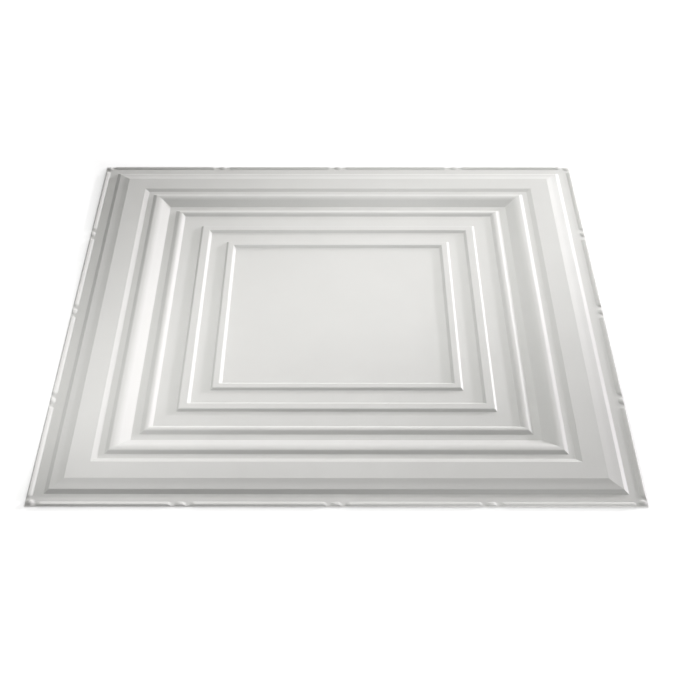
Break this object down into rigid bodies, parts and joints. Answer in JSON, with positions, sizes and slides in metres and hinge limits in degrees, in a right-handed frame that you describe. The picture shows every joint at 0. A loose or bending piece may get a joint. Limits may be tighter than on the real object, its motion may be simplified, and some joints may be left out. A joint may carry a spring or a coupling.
{
  "type": "pvc drop ceiling tile",
  "caption": "Square vacuum-formed ceiling tile with nested mitred mouldings around a flat centre panel, and a beaded rim that lays in a suspended grid.",
  "frame": {"origin": "centre of the plane that the back rests on, under the middle of the tile", "axes": "+Z out of the decorative face, X and Y along the sides"},
  "size_m": [0.6032, 0.6032, 0.0058],
  "materials": {
    "pvc_sheet": "satin white PVC, with a soft sheen"
  },
  "bodies": {
    "root": {"ceiling_tile": "pvc_sheet"}
  },
  "joints": []
}
